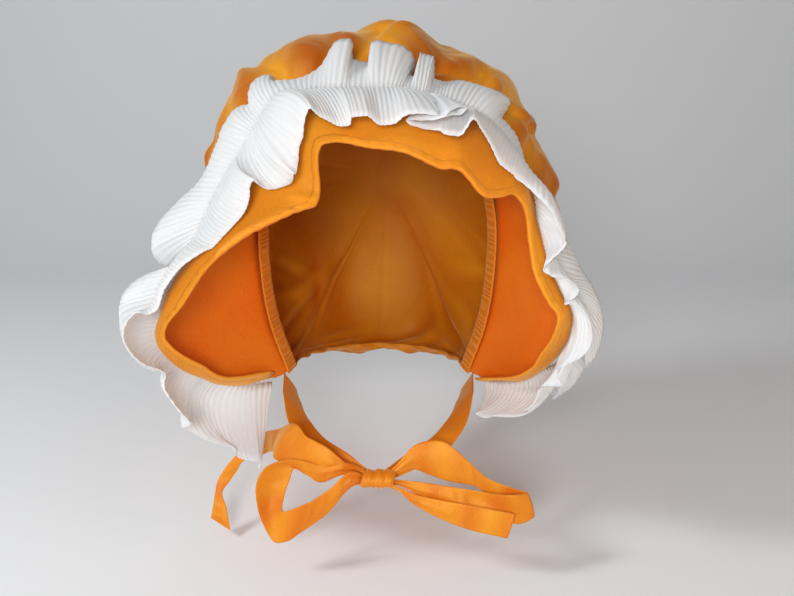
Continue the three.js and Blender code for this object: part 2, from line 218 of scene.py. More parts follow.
# Painted light and shade in the cloth's tone: how much lighter the crown is painted on its raised folds and
# darker in its creases, how much darker the whole crown is painted as shade, how much lighter the brim's
# outer side is painted than its inner side, and painted sheen along the ribbons
FOLD_PAINTED_SHADE = 0.06
CROWN_PAINTED_SHADE = 0.02
BRIM_SIDE_PAINTED_LIGHT = 0.18
RIBBON_PAINTED_SHEEN = 0.12
RIBBON_PAINTED_SHEEN_PITCH = 34

# Tone of the cloth from slow drift and single thick threads, and its crumples
DRIFT_SCALE = 16
DRIFT_DETAIL = 4
DRIFT_SHARE = 0.45
SLUB_SCALE = 700
SLUB_DETAIL = 2
SLUB_SHARE = 0.3
TONE_RANGE = (0.1, 0.65)
CRUMPLE_SCALE = 90
CRUMPLE_DETAIL = 1
CRUMPLE_HEIGHT = 2.0
WEAVE_HEIGHT = 0.2
GLOW_REACH = 2.0
SHEEN_ROUGHNESS = 0.4
THREAD_ROUGHNESS = 0.6
# Length of one wave of the wave texture at a scale of 1, and the mix node's sockets for colours
WAVE_TEXTURE_LENGTH = 2 * math.pi / 20
MIX_FIRST = 6
MIX_SECOND = 7
MIX_RESULT = 2

# Waves of ripple(), and the seeds of everything that is picked
RIPPLE_WAVES = 3
RIPPLE_STRETCH = 0.37
RIPPLE_SUM = 1.6
GATHER_SEED = 3
GATHER_DRIFT_SEED = 4
CREASE_SEED = 17
SAG_SEED = 32
SAG_DRIFT_SEED = 33
PUCKER_SEED = 11
BRIM_WAVE_SEED = 13
BAND_SEED = 21
TIE_RIGHT_SEED = 1
TIE_LEFT_SEED = 2
FIRST_BOW_SEED = 3
BOW_RIPPLE_SEED_STEP = 9
PAINTED_SHEEN_SEED_STEP = 30

# Small steps for slopes, and the least length that counts
STEP = 0.002
TINY = 1e-9


def table(names, *rows):
    """Columns of numbers by name."""
    return {name: np.array([row[i] for row in rows], float) for i, name in enumerate(names.split())}


# Seam of crown and brim, from its top (0) down to its end on one side (1)
HALF_SEAM = [
    (0.00, 0, 0, 3), (0.17, 40, 0, -6), (0.33, 66, -1, -32), (0.51, 79, -2, -70),
    (0.68, 80, -2, -110), (0.85, 75, 0, -150), (1.00, 64, 2, -186),
]
SEAM = table("along x y z", *[(-a, -x, y, z) for a, x, y, z in HALF_SEAM[:0:-1]], *HALF_SEAM)
# Neck edge of the crown, from the end of the seam to the nape
HALF_NECK = table(
    "along x y z", (1.0, 64, 2, -186), (1.1, 56, 40, -189), (1.2, 34, 68, -191), (1.3, 0, 80, -192),
)
NAPE = 1.3

# Brim: reach and flare from the seam to the shoulder, fall and bend from there to the hem, and its sway
BRIM = table(
    "along reach flare fall bend sway",
    (-1.00, 12, 62, 6, -40, 6), (-0.97, 34, 55, 16, -14, 10), (-0.91, 53, 50, 26, -8, 18),
    (-0.84, 68, 49, 31, -5, 20), (-0.78, 74, 47, 28, -14, 12), (-0.72, 73, 43, 30, -28, 8),
    (-0.63, 65, 37, 34, -36, 7), (-0.54, 55, 30, 46, -45, 7), (-0.44, 48, 24, 57, -54, 3),
    (-0.34, 45, 19, 62, -59, 0), (-0.28, 44, 21, 59, -60, 0), (-0.20, 44, 25, 47, -50, 5),
    (-0.15, 42, 18, 44, -43, 4), (-0.05, 41, 10, 49, -38, 6), (0.06, 41, 10, 52, -36, 5),
    (0.14, 41, 10, 54, -36, 14), (0.20, 41, 14, 51, -31, 16), (0.26, 42, 20, 52, -33, 25),
    (0.31, 42, 22, 41, -28, 23), (0.36, 44, 21, 30, -19, 15), (0.42, 46, 22, 25, -14, 10),
    (0.50, 47, 27, 28, -21, 13), (0.57, 51, 31, 31, -23, 12), (0.64, 56, 35, 31, -16, 11),
    (0.70, 62, 39, 29, -17, 5), (0.76, 63, 44, 27, -29, 5), (0.82, 58, 47, 26, -34, 3),
    (0.89, 47, 49, 24, -24, -2), (0.96, 31, 53, 17, -33, -3), (1.00, 12, 50, 8, -50, 0),
)

# Ruffle: swing of each half off the brim, lean of its pleats, and width of the front half
FRONT_HALF = table(
    "along swing lean",
    (-1.00, 85, 24), (-0.97, 82, 4), (-0.945, 78, -9), (-0.92, 74, -19), (-0.89, 66, -24),
    (-0.87, 40, -10), (-0.855, 28, -8), (-0.84, 14, -12), (-0.82, 14, -19),
    (-0.80, 21, -14), (-0.775, 28, -8),
    (-0.75, 31, -10), (-0.735, 27, 0), (-0.715, 18, -9), (-0.69, 13, -13), (-0.65, 18, -12),
    (-0.60, 16, -12), (-0.57, 9, -12), (-0.54, 2, -18), (-0.50, 3, -21), (-0.45, 9, -21),
    (-0.41, 18, -22), (-0.375, 27, -23), (-0.358, 34, -17), (-0.34, 24, -27), (-0.30, 7, -33),
    (-0.285, 14, -24), (-0.27, 24, -12), (-0.255, 16, 10), (-0.24, 16, 15), (-0.205, 33, 22),
    (-0.17, 24, 18), (-0.125, 14, 12), (-0.10, 15, 9), (-0.08, 21, 3), (-0.04, 21, 2),
    (0.00, 11, 2), (0.03, 13, 5), (0.05, 22, 6), (0.08, 28, 23), (0.095, 26, 40),
    (0.105, 36, 36), (0.115, 31, 9), (0.122, 18, -14), (0.13, 8, -28),
    (0.14, 2, -29), (0.15, 8, -22), (0.16, 16, -13),
    (0.185, 16, -2), (0.215, 32, -9), (0.25, 26, -18), (0.30, 21, -24), (0.36, 19, -30),
    (0.40, 22, -14), (0.425, 46, 8), (0.455, 70, 36), (0.475, 56, 42), (0.495, 60, 34),
    (0.54, 72, 42), (0.565, 54, 45), (0.585, 58, 36), (0.63, 70, 42), (0.655, 54, 45),
    (0.675, 58, 36), (0.72, 68, 42), (0.745, 54, 42), (0.77, 56, 34), (0.81, 58, 30),
    (0.84, 52, 26), (0.87, 47, 20), (0.89, 44, 15), (0.925, 44, 20), (0.95, 50, 15),
    (0.975, 54, 10), (1.00, 50, -5),
)
BACK_HALF = table(
    "along swing lean",
    (-1.00, 60, 15), (-0.97, 65, 7), (-0.92, 80, -15), (-0.87, 98, -30), (-0.85, 88, -32),
    (-0.83, 76, -24), (-0.815, 88, -27), (-0.79, 98, -30), (-0.75, 105, -31), (-0.70, 107, -34),
    (-0.64, 90, -34), (-0.62, 76, -36), (-0.60, 48, -40), (-0.575, 38, -48), (-0.56, 64, -55),
    (-0.54, 82, -50), (-0.52, 85, -45), (-0.50, 77, -35), (-0.47, 60, -22), (-0.42, 43, -17),
    (-0.36, 40, -12), (-0.33, 41, -14), (-0.31, 43, -20), (-0.29, 44, -6), (-0.275, 40, -2),
    (-0.262, 34, 0), (-0.25, 44, 3), (-0.235, 49, 4), (-0.21, 44, 1), (-0.193, 35, -9),
    (-0.165, 25, -8), (-0.15, 27, 1), (-0.13, 34, 8), (-0.115, 44, 9), (-0.10, 52, 10),
    (-0.085, 53, 12), (-0.072, 48, 11), (-0.062, 34, 5), (-0.05, 30, 4), (-0.025, 27, 6),
    (-0.01, 44, 1), (0.02, 45, 6), (0.035, 43, 10), (0.048, 35, 13), (0.056, 27, 12),
    (0.064, 15, 8), (0.074, 15, 10), (0.082, 35, 4), (0.095, 39, 0), (0.11, 39, 3),
    (0.118, 31, 3), (0.126, 18, 4), (0.145, 19, 5), (0.175, 29, 6), (0.205, 36, 16),
    (0.24, 44, 18), (0.26, 37, 13), (0.28, 26, 9), (0.30, 30, 6), (0.33, 35, 7),
    (0.36, 34, 14), (0.40, 30, 14), (0.43, 26, 15), (0.47, 23, 29), (0.495, 24, 33),
    (0.505, 20, 31), (0.52, 24, 35), (0.57, 31, 44), (0.60, 36, 48), (0.65, 46, 50),
    (0.70, 52, 51), (0.72, 54, 57), (0.74, 50, 50), (0.76, 46, 41), (0.78, 48, 39),
    (0.80, 52, 38), (0.84, 66, 47), (0.88, 77, 39), (0.91, 72, 29), (0.95, 66, 25),
    (1.00, 55, 20),
)
FRONT_WIDTH = table(
    "along width",
    (-1.00, 62), (-0.97, 49), (-0.92, 41), (-0.87, 39), (-0.83, 36),
    (0.90, 36), (0.94, 35), (0.965, 31), (0.985, 23), (1.00, 9),
)
# Where the ruffle is sewn on across the brim, from its seam (0) to its hem (1)
GATHER_LINE = table(
    "along across", (-1.00, 0.5), (0.38, 0.5), (0.47, 0.85), (0.80, 0.85), (0.92, 0.5), (1.00, 0.5),
)

# Crown: middle of the bag in x and z, depth of its back, share of its cheek, and its fullness
CROWN_AXIS = (4, -72)
CROWN_DEPTH = 148
CROWN_CHEEK = 0.42
CROWN = table(
    "along puff depth",
    (-1.30, 128, 104), (-1.20, 131, 90), (-1.10, 134, 66), (-1.00, 134, 50), (-0.85, 126, 48),
    (-0.68, 120, 50), (-0.51, 124, 52), (-0.37, 128, 52), (-0.21, 130, 50), (-0.13, 124, 50),
    (-0.06, 117, 50), (0.03, 124, 50), (0.12, 111, 50), (0.20, 117, 50), (0.28, 123, 50),
    (0.35, 115, 50), (0.44, 117, 50), (0.55, 124, 50), (0.68, 120, 50), (0.85, 126, 48),
    (1.00, 134, 50), (1.10, 134, 66), (1.20, 131, 90), (1.30, 128, 104),
)

# Folds of the crown seen from the front: place, direction, length, width and depth
CROWN_FOLDS = table(
    "along inward turn run width depth",
    (-0.36, 0.25, 75, 40, 12, -6), (-0.23, 0.24, 90, 40, 12, -7), (-0.16, 0.22, 90, 45, 15, 8),
    (-0.03, 0.30, 90, 45, 13, -6), (0.06, 0.28, 90, 45, 15, 7), (0.14, 0.15, 20, 25, 8, 4),
    (0.19, 0.24, 80, 30, 10, -7), (0.235, 0.24, 100, 25, 7, 6), (0.32, 0.22, 90, 60, 15, 7),
    (0.42, 0.25, 95, 50, 14, 7),
)

# One tie: its middle line from the seam to the knot, its turn and its width
TIE = table(
    "x y z turn wide",
    (63, 6, -195, 90, 18), (60, -10, -201, 78, 18), (53, -30, -211, 70, 18),
    (39, -47, -221, 62, 16), (23, -54, -228, 40, 12), (13, -60, -231.5, 20, 9), (5, -66, -233, 10, 7),
)
# Ribbons of the bow: upper and lower edge, and how far their middle stands out to the front
EDGES = "x y z x_low y_low z_low swell"
BOW = {
    "bow_loop_left": table(
        EDGES,
        (-9, -70, -231, -9, -70, -237, 0.5), (-13, -72, -227, -13, -72, -236, 1.0),
        (-31, -78, -237, -33, -79, -254, 0.8), (-43, -81, -244, -49, -82, -265, 0.4),
        (-53, -82, -248, -59, -83, -271, 0.2), (-58.5, -81, -250.5, -66, -83, -271, -1.0),
        (-60.5, -79, -250, -73, -82, -258, -2.0), (-59.5, -76, -243, -76, -81, -246, -3.0),
        (-56, -72, -233, -76, -78, -231, -3.0), (-53, -70, -226, -71, -75, -223, -2.0),
        (-45, -69, -231, -56, -71, -219, -1.0), (-36, -69, -236, -37, -68, -224, 0.6),
        (-22, -68, -231, -21, -67, -223, 0.8), (-13, -67, -231, -13, -66, -226, 0.4),
        (-8, -67, -233, -8, -66, -229, 0.2),
    ),
    "bow_loop_right": table(
        EDGES,
        (8, -65, -230, 8, -65, -236, 0.3), (12, -64, -227, 12, -65, -233, 0.6),
        (24, -61, -214, 24, -64, -229, 1.6), (33, -60, -211, 35, -65, -233, 2.2),
        (44, -62, -211, 46, -67, -236, 1.6), (53, -65, -217, 56, -69, -237, 0.8),
        (61, -67, -224, 63, -70, -238, 0.2), (70, -69, -232, 71, -71, -244, 0.0),
        (82, -71, -237, 82, -73, -253, 0.0), (92, -74, -239, 93, -75, -258, 0.5),
        (96, -77, -239, 101, -79, -255, 0.8), (91, -80, -239, 94, -82, -258, 0.0),
        (78, -80, -239, 80, -83, -256, -1.2), (64, -77, -238, 65, -82, -251, -1.4),
        (47, -75, -236, 47, -79, -247, 0.6), (29, -73, -234, 29, -75, -243, 1.0),
        (13, -71, -233, 13, -71, -237, 0.4), (8, -70, -233, 8, -70, -237, 0.2),
    ),
    "bow_tail_left": table(
        EDGES,
        (-8, -64, -228, -8, -64, -233, 0.2), (-14, -66, -228, -15, -66, -232, 0.4),
        (-22, -66, -222, -23, -67, -228, 1.2), (-31, -65, -214, -36, -67, -229, 1.8),
        (-40, -62, -210, -50, -65, -229, 1.4), (-46, -59, -208, -59, -62, -227, -1.2),
        (-51, -54, -203, -66, -57, -226, 1.4), (-67, -37, -213, -71, -38, -229, 1.0),
        (-80, -22, -223, -80, -21, -239, 0.4), (-91, -16, -233, -88, -15, -245, 0.0),
        (-103, -14, -246, -96, -14, -248, 0.0), (-110, -15, -255, -101, -14, -256, 0.6),
        (-114, -17, -262, -106, -16, -263, 0.4), (-115, -20, -267, -110, -20, -268, 0.0),
        (-116, -25, -275, -107, -26, -277, -0.5), (-117, -31, -283, -103, -36, -290, 0.0),
    ),
    "bow_tail_right": table(
        EDGES,
        (8, -74, -233, 8, -74, -237, 0.2), (12, -75, -235, 12, -75, -238, 0.4),
        (27, -79, -240, 24, -80, -246, 1.0), (42, -82, -242, 39, -84, -253, 0.8),
        (57, -84, -244, 55, -86, -259, 0.4), (88, -87, -249, 83, -89, -265, 0.6),
    ),
}


# Curves and surfaces of the cloth, in millimetres

def smooth(columns, name, at, level_turns=False):
    """Value of one column on a smooth curve through the table's rows, level at its turns if asked."""
    x, y = columns["along"], columns[name]
    at = np.clip(np.asarray(at, float), x[0], x[-1])
    slope = np.gradient(y, x)
    if level_turns:
        chord = np.diff(y) / np.diff(x)
        slope[1:-1] *= chord[1:] * chord[:-1] > 0
    i = np.clip(np.searchsorted(x, at, side="right") - 1, 0, len(x) - 2)
    span = x[i + 1] - x[i]
    u = (at - x[i]) / span
    return (
        (2 * u**3 - 3 * u**2 + 1) * y[i] + (u**3 - 2 * u**2 + u) * span * slope[i]
        + (3 * u**2 - 2 * u**3) * y[i + 1] + (u**3 - u**2) * span * slope[i + 1]
    )


def smooth_point(columns, at, axes=("x", "y", "z")):
    return np.stack([smooth(columns, axis, at) for axis in axes], -1)


def unit(v):
    return v / np.maximum(np.linalg.norm(v, axis=-1, keepdims=True), TINY)


def ramp(values, start, end):
    """Changes evenly from 0 at start to 1 at end, and is level outside them."""
    return np.clip((values - start) / (end - start), 0, 1)


def ripple(places, wavelength, seed):
    """Uneven smooth waves between about -1 and 1, the same on every run."""
    phase = np.random.default_rng(seed)
    total = np.zeros_like(places)
    for k in range(RIPPLE_WAVES):
        stretch = 1 + RIPPLE_STRETCH * k
        shift = phase.uniform(0, 2 * math.pi)
        total += np.sin(2 * math.pi * places * stretch / wavelength + shift) / (1 + k)
    return total / RIPPLE_SUM


def seam_frame(along):
    """Direction along the seam, and outward from it."""
    run = smooth_point(SEAM, along + STEP) - smooth_point(SEAM, along - STEP)
    run = unit(run * [1, 0, 1])
    out = np.stack([-run[..., 2], np.zeros_like(run[..., 0]), run[..., 0]], -1)
    return run, out


def brim_lines(along):
    """Seam, shoulder and hem of the brim."""
    run, out = seam_frame(along)
    column = {name: smooth(BRIM, name, along)[..., None] for name in BRIM if name != "along"}
    flare, bend = np.radians(column["flare"]), np.radians(column["bend"])
    seam = smooth_point(SEAM, along)
    shoulder = seam + column["reach"] * (np.cos(flare) * FORWARD + np.sin(flare) * out)
    fall = column["fall"] * (np.cos(bend) * FORWARD + np.sin(bend) * out)
    hem = shoulder + fall + column["sway"] * run
    return seam, shoulder, hem


def brim_at(along, across):
    """Point of the brim, from the seam (0) over the shoulder (0.5) to the hem (1)."""
    seam, shoulder, hem = brim_lines(along)
    control = 2 * shoulder - (seam + hem) / 2
    w = np.asarray(across)[..., None]
    return (1 - w) ** 2 * seam + 2 * w * (1 - w) * control + w**2 * hem


def over_brim(along, across, lift):
    """Place above the brim's outer side, carried on straight past its two ends."""
    inside = np.clip(along, STEP - 1, 1 - STEP)
    run = brim_at(inside + STEP, across) - brim_at(inside - STEP, across)
    down = brim_at(inside, across + STEP) - brim_at(inside, across - STEP)
    out = unit(np.cross(down, run))
    past = ((along - inside) * BRIM_END_RUN)[..., None]
    return brim_at(inside, across) + lift[..., None] * out + past * unit(run)


def gather_line(along):
    """Where the ruffle is sewn on, across the brim."""
    return smooth(GATHER_LINE, "across", along, level_turns=True)


def ruffle_angle(name, along, front):
    """Angle of the front half where front is true, otherwise of the back half, in radians."""
    ahead = smooth(FRONT_HALF, name, along, level_turns=True)
    behind = smooth(BACK_HALF, name, along, level_turns=True)
    return np.radians(np.where(front, ahead, behind))


def ruffle_at(along, across):
    """Point of the ruffle, from its back edge (-1) over the gather line (0) to its front edge (1)."""
    along, across = np.broadcast_arrays(np.asarray(along, float), np.asarray(across, float))
    front = across >= 0
    front_width = smooth(FRONT_WIDTH, "width", along, level_turns=True)
    width = np.where(front, front_width, RUFFLE_WIDTH - front_width)
    swing = ruffle_angle("swing", along, front)
    lean = ruffle_angle("lean", along, front)
    distance = np.abs(across) * width
    seam, _, hem = brim_lines(along)
    section = np.maximum(np.linalg.norm(hem - seam, axis=-1), LEAST_SECTION)
    ahead, behind = np.minimum(along + STEP, 1), np.maximum(along - STEP, -1)
    sewn = gather_line(along)
    line = np.linalg.norm(brim_at(ahead, sewn) - brim_at(behind, sewn), axis=-1) / (ahead - behind)
    slip = distance * np.sin(lean)
    over = np.sign(across) * distance * np.cos(lean) * np.cos(swing)
    up = distance * np.cos(lean) * np.sin(swing)
    return over_brim(along + slip / line, sewn + over / section, up + RUFFLE_LIFT)


def crown_edge(along):
    """Edge of the crown: the seam in front, and the neck edge behind its two ends."""
    neck = smooth_point(HALF_NECK, np.abs(along))
    neck[..., 0] *= np.sign(along)
    return np.where((np.abs(along) > 1)[..., None], neck, smooth_point(SEAM, np.clip(along, -1, 1)))


def crown_at(along, inward):
    """Point of the crown, from its edge (0) over the cheek of the bag to its back (1)."""
    along, inward = np.broadcast_arrays(np.asarray(along, float), np.asarray(inward, float))
    edge = crown_edge(along) - CROWN_SEAM_GAP * FORWARD
    ray = np.stack([edge[..., 0] - CROWN_AXIS[0], edge[..., 2] - CROWN_AXIS[1]], -1)
    edge_radius = np.linalg.norm(ray, axis=-1)
    puff, depth = smooth(CROWN, "puff", along), smooth(CROWN, "depth", along)
    rise = np.clip(inward / CROWN_CHEEK, 0, 1) * math.pi / 2
    turn = np.clip((inward - CROWN_CHEEK) / (1 - CROWN_CHEEK), 0, 1) * math.pi / 2
    cheek = inward < CROWN_CHEEK
    radius = np.where(cheek, edge_radius + (puff - edge_radius) * np.sin(rise), puff * np.cos(turn))
    front = edge[..., 1]
    cheek_y = front + (depth - front) * (1 - np.cos(rise))
    back_y = depth + (CROWN_DEPTH - depth) * np.sin(turn)
    y = np.where(cheek, cheek_y, back_y)
    ray = unit(ray) * radius[..., None]
    return np.stack([CROWN_AXIS[0] + ray[..., 0], y, CROWN_AXIS[1] + ray[..., 1]], -1)


# Meshes from grids of points

def grid_normals(grid, closed=False):
    if closed:
        run = np.roll(grid, -1, 1) - np.roll(grid, 1, 1)
    else:
        run = np.gradient(grid, axis=1)
    down = np.gradient(grid, axis=0)
    return unit(np.cross(down, run))


def lengths(grid, axis):
    """Cloth length along one axis of a grid, from its first line."""
    steps = np.linalg.norm(np.diff(grid, axis=axis), axis=-1)
    start = np.zeros_like(np.take(steps, [0], axis))
    return np.concatenate([start, np.cumsum(steps, axis)], axis)


def grid_faces(index, closed=False):
    if closed:
        index = np.concatenate([index, index[:, :1]], 1)
    return np.stack([index[:-1, :-1], index[1:, :-1], index[1:, 1:], index[:-1, 1:]], -1).reshape(-1, 4)


def linked(name, data):
    """Object of a mesh, camera or lamp in the scene."""
    made = bpy.data.objects.new(name, data)
    bpy.context.scene.collection.objects.link(made)
    return made


def mesh_object(name, points, faces, material, uv=None, attributes=None):
    """Object of smooth faces from points in millimetres. uv is one pair for each point, in metres."""
    mesh = bpy.data.meshes.new(name)
    mesh.from_pydata((points * MM).tolist(), [], [list(face) for face in faces])
    if uv is not None:
        corner = np.zeros(len(mesh.loops), np.int32)
        mesh.loops.foreach_get("vertex_index", corner)
        layer = mesh.uv_layers.new(name="cloth")
        layer.data.foreach_set("uv", uv[corner].astype(np.float32).ravel())
    for key, values in (attributes or {}).items():
        layer = mesh.attributes.new(key, "FLOAT", "POINT")
        layer.data.foreach_set("value", values.astype(np.float32).ravel())
    mesh.polygons.foreach_set("use_smooth", np.ones(len(mesh.polygons), bool))
    mesh.materials.append(material)
    mesh.validate()
    mesh.update()
    return linked(name, mesh)


def baked(piece):
    """Replaces a piece's mesh by the plain mesh that its modifiers make."""
    bpy.context.view_layer.update()
    result = bpy.data.meshes.new_from_object(piece.evaluated_get(bpy.context.evaluated_depsgraph_get()))
    piece.modifiers.clear()
    old = piece.data
    piece.data = result
    bpy.data.meshes.remove(old)
    result.name = piece.name
    result.polygons.foreach_set("use_smooth", np.ones(len(result.polygons), bool))
    return piece


def thickened(piece, thickness):
    """Gives a single layer the thickness of its cloth, half to each side."""
    wall = piece.modifiers.new("wall", "SOLIDIFY")
    wall.thickness = thickness * MM
    wall.offset = 0
    return baked(piece)


def cloth_wall(name, grid, thickness, material, closed=False, tone_and_painted_light=0.0, sides=0.0):
    """Closed cloth wall about a grid of middle points. thickness is a number or one for each point.

    tone_and_painted_light lightens the tone at each point as painted light and shade, and sides paints the
    outer side lighter and the inner side darker.
    """
    rows, columns = grid.shape[:2]
    half = np.broadcast_to(thickness, (rows, columns))[..., None] / 2
    normal = grid_normals(grid, closed)
    points = np.stack([grid + normal * half, grid - normal * half]).reshape(-1, 3)
    outer = np.arange(rows * columns).reshape(rows, columns)
    inner = outer + rows * columns
    faces = [grid_faces(outer, closed), grid_faces(inner, closed)[:, ::-1]]
    for edge in ((inner[0], outer[0]), (outer[-1], inner[-1])):
        faces.append(grid_faces(np.stack(edge), closed))
    if not closed:
        for end in ((outer[:, 0], inner[:, 0]), (inner[:, -1], outer[:, -1])):
            faces.append(grid_faces(np.stack(end)))
    along = lengths(grid, 1)
    down = np.broadcast_to(lengths(grid, 0).mean(1, keepdims=True), along.shape)
    uv = np.stack([along, down], -1) * MM
    uv = np.concatenate([uv.reshape(-1, 2)] * 2)
    tone_and_painted_light = np.broadcast_to(tone_and_painted_light, (rows, columns)).ravel()
    # Painted light and shade: the outer side is painted lighter and the inner side darker by sides
    painted_light = {"painted_light": np.concatenate([tone_and_painted_light + sides, tone_and_painted_light - sides])}
    return mesh_object(name, points, np.concatenate(faces), material, uv, painted_light)


# Node trees

def add_node(tree, kind, inputs=None, **settings):
    made = tree.nodes.new(kind)
    for key, value in settings.items():
        setattr(made, key, value)
    for key, value in (inputs or {}).items():
        if isinstance(value, bpy.types.NodeSocket):
            tree.links.new(value, made.inputs[key])
        else:
            made.inputs[key].default_value = value
    return made


def result_of(tree, kind, inputs=None, **settings):
    """First output of a new node."""
    return add_node(tree, kind, inputs, **settings).outputs[0]


def sum_of(tree, operation, *values):
    """Result of a new math node from numbers and outputs of other nodes."""
    return result_of(tree, "ShaderNodeMath", dict(enumerate(values)), operation=operation)


def shape_tree(name, sizes):
    """Geometry node tree with a geometry, named sizes and a material as inputs."""
    tree = bpy.data.node_groups.new(name, "GeometryNodeTree")
    tree.interface.new_socket("Geometry", in_out="INPUT", socket_type="NodeSocketGeometry")
    for size in sizes:
        tree.interface.new_socket(size, in_out="INPUT", socket_type="NodeSocketFloat")
    tree.interface.new_socket("Cloth", in_out="INPUT", socket_type="NodeSocketMaterial")
    tree.interface.new_socket("Geometry", in_out="OUTPUT", socket_type="NodeSocketGeometry")
    return tree, add_node(tree, "NodeGroupInput").outputs


def end_tree(tree, geometry, material):
    real = result_of(tree, "GeometryNodeRealizeInstances", {"Geometry": geometry})
    dressed = result_of(tree, "GeometryNodeSetMaterial", {"Geometry": real, "Material": material})
    add_node(tree, "NodeGroupOutput", {"Geometry": dressed})


def pleats_tree():
    """Folds a strip to and fro along its normals, by the pleat number that its points carry."""
    tree, given = shape_tree("crystal_pleats", ("Pleat depth", "Depth at the stitching"))
    number = result_of(tree, "GeometryNodeInputNamedAttribute", {"Name": "pleat"})
    free = result_of(tree, "GeometryNodeInputNamedAttribute", {"Name": "free"})
    # To and fro between 0 and a half for each pleat, then between -1 and 1
    zigzag = sum_of(tree, "PINGPONG", number, 0.5)
    centred = sum_of(tree, "MULTIPLY_ADD", zigzag, 4, -1)
    depth = result_of(tree, "ShaderNodeMapRange", {
        "Value": free, "To Min": given["Depth at the stitching"], "To Max": given["Pleat depth"],
    })
    height = sum_of(tree, "MULTIPLY", centred, depth)
    normal = result_of(tree, "GeometryNodeInputNormal")
    offset = result_of(tree, "ShaderNodeVectorMath", {0: normal, "Scale": height}, operation="SCALE")
    folded = result_of(tree, "GeometryNodeSetPosition", {"Geometry": given["Geometry"], "Offset": offset})
    end_tree(tree, folded, given["Cloth"])
    return tree


def stitches_tree():
    """Row of stitches along a line."""
    tree, given = shape_tree("stitch_row", ("Pitch", "Stitch length", "Thread radius"))
    line = result_of(tree, "GeometryNodeMeshToCurve", {"Mesh": given["Geometry"]})
    spaced = result_of(
        tree, "GeometryNodeResampleCurve", {"Curve": line, "Length": given["Pitch"]}, mode="LENGTH",
    )
    thread = result_of(tree, "GeometryNodeMeshUVSphere", {
        "Segments": THREAD_SEGMENTS, "Rings": THREAD_RINGS, "Radius": 1.0,
    })
    half = sum_of(tree, "MULTIPLY", given["Stitch length"], 0.5)
    size = result_of(tree, "ShaderNodeCombineXYZ", {
        "X": given["Thread radius"], "Y": given["Thread radius"], "Z": half,
    })
    tangent = result_of(tree, "GeometryNodeInputTangent")
    facing = result_of(tree, "FunctionNodeAlignRotationToVector", {"Vector": tangent}, axis="Z")
    row = result_of(tree, "GeometryNodeInstanceOnPoints", {
        "Points": spaced, "Instance": thread, "Rotation": facing, "Scale": size,
    })
    end_tree(tree, row, given["Cloth"])
    return tree


def shaped(piece, tree, sizes, material):
    """Plain mesh of a piece after a geometry node tree, with the tree's sizes in millimetres."""
    modifier = piece.modifiers.new(tree.name, "NODES")
    modifier.node_group = tree
    inputs = [item for item in tree.interface.items_tree if item.in_out == "INPUT"]
    sockets = {item.name: item.identifier for item in inputs}
    for key, size in sizes.items():
        modifier[sockets[key]] = size * MM
    modifier[sockets["Cloth"]] = material
    return baked(piece)


# Materials

def cloth_material(name, lit, deep, bloom, thread_pitch, roughness, sheen, gloss, glow, weave, crumple):
    """Woven cloth: a tone that drifts between lit and deep, with painted light and shade from each mesh's
    painted_light attribute, crossed threads, crumples and a soft glow.
    """
    material = bpy.data.materials.new(name)
    material.use_nodes = True
    tree = material.node_tree
    shader = tree.nodes["Principled BSDF"]
    place = add_node(tree, "ShaderNodeTexCoord").outputs
    drift = result_of(tree, "ShaderNodeTexNoise", {
        "Vector": place["Object"], "Scale": DRIFT_SCALE, "Detail": DRIFT_DETAIL,
    })
    slub = result_of(tree, "ShaderNodeTexNoise", {
        "Vector": place["UV"], "Scale": SLUB_SCALE, "Detail": SLUB_DETAIL,
    })
    # Painted light and shade: the mesh's painted_light attribute, added to the single thick threads, shifts
    # the tone between deep and lit
    painted_light = add_node(tree, "ShaderNodeAttribute", attribute_name="painted_light").outputs["Fac"]
    tone_and_painted_light = sum_of(tree, "MULTIPLY_ADD", slub, SLUB_SHARE, painted_light)
    mixed = sum_of(tree, "MULTIPLY_ADD", drift, DRIFT_SHARE, tone_and_painted_light)
    tone = result_of(tree, "ShaderNodeMapRange", {
        "Value": mixed, "From Min": TONE_RANGE[0], "From Max": TONE_RANGE[1],
    })
    colour = add_node(tree, "ShaderNodeMix", {"Factor": tone}, data_type="RGBA")
    colour.inputs[MIX_FIRST].default_value = (*deep, 1)
    colour.inputs[MIX_SECOND].default_value = (*lit, 1)
    tree.links.new(colour.outputs[MIX_RESULT], shader.inputs["Base Color"])
    waves = {"Vector": place["UV"], "Scale": WAVE_TEXTURE_LENGTH / (thread_pitch * MM)}
    warp = add_node(tree, "ShaderNodeTexWave", waves, bands_direction="X").outputs["Fac"]
    weft = add_node(tree, "ShaderNodeTexWave", waves, bands_direction="Y").outputs["Fac"]
    threads = sum_of(tree, "MULTIPLY", warp, weft)
    crumples = result_of(tree, "ShaderNodeTexNoise", {
        "Vector": place["Object"], "Scale": CRUMPLE_SCALE, "Detail": CRUMPLE_DETAIL,
    })
    fine = result_of(tree, "ShaderNodeBump", {
        "Strength": weave, "Distance": WEAVE_HEIGHT * MM, "Height": threads,
    })
    soft = result_of(tree, "ShaderNodeBump", {
        "Strength": crumple, "Distance": CRUMPLE_HEIGHT * MM, "Height": crumples, "Normal": fine,
    })
    tree.links.new(soft, shader.inputs["Normal"])
    shader.inputs["Subsurface Weight"].default_value = glow
    shader.inputs["Subsurface Radius"].default_value = (1, 1, 1)
    shader.inputs["Subsurface Scale"].default_value = GLOW_REACH * MM
    shader.inputs["Roughness"].default_value = roughness
    shader.inputs["Sheen Weight"].default_value = sheen
    shader.inputs["Sheen Roughness"].default_value = SHEEN_ROUGHNESS
    shader.inputs["Sheen Tint"].default_value = (*bloom, 1)
    shader.inputs["Specular Tint"].default_value = (*bloom, 1)
    shader.inputs["Specular IOR Level"].default_value = gloss
    return material


def plain_material(name, colour, roughness):
    material = bpy.data.materials.new(name)
    material.use_nodes = True
    shader = material.node_tree.nodes["Principled BSDF"]
    shader.inputs["Base Color"].default_value = (*colour, 1)
    shader.inputs["Roughness"].default_value = roughness
    return material


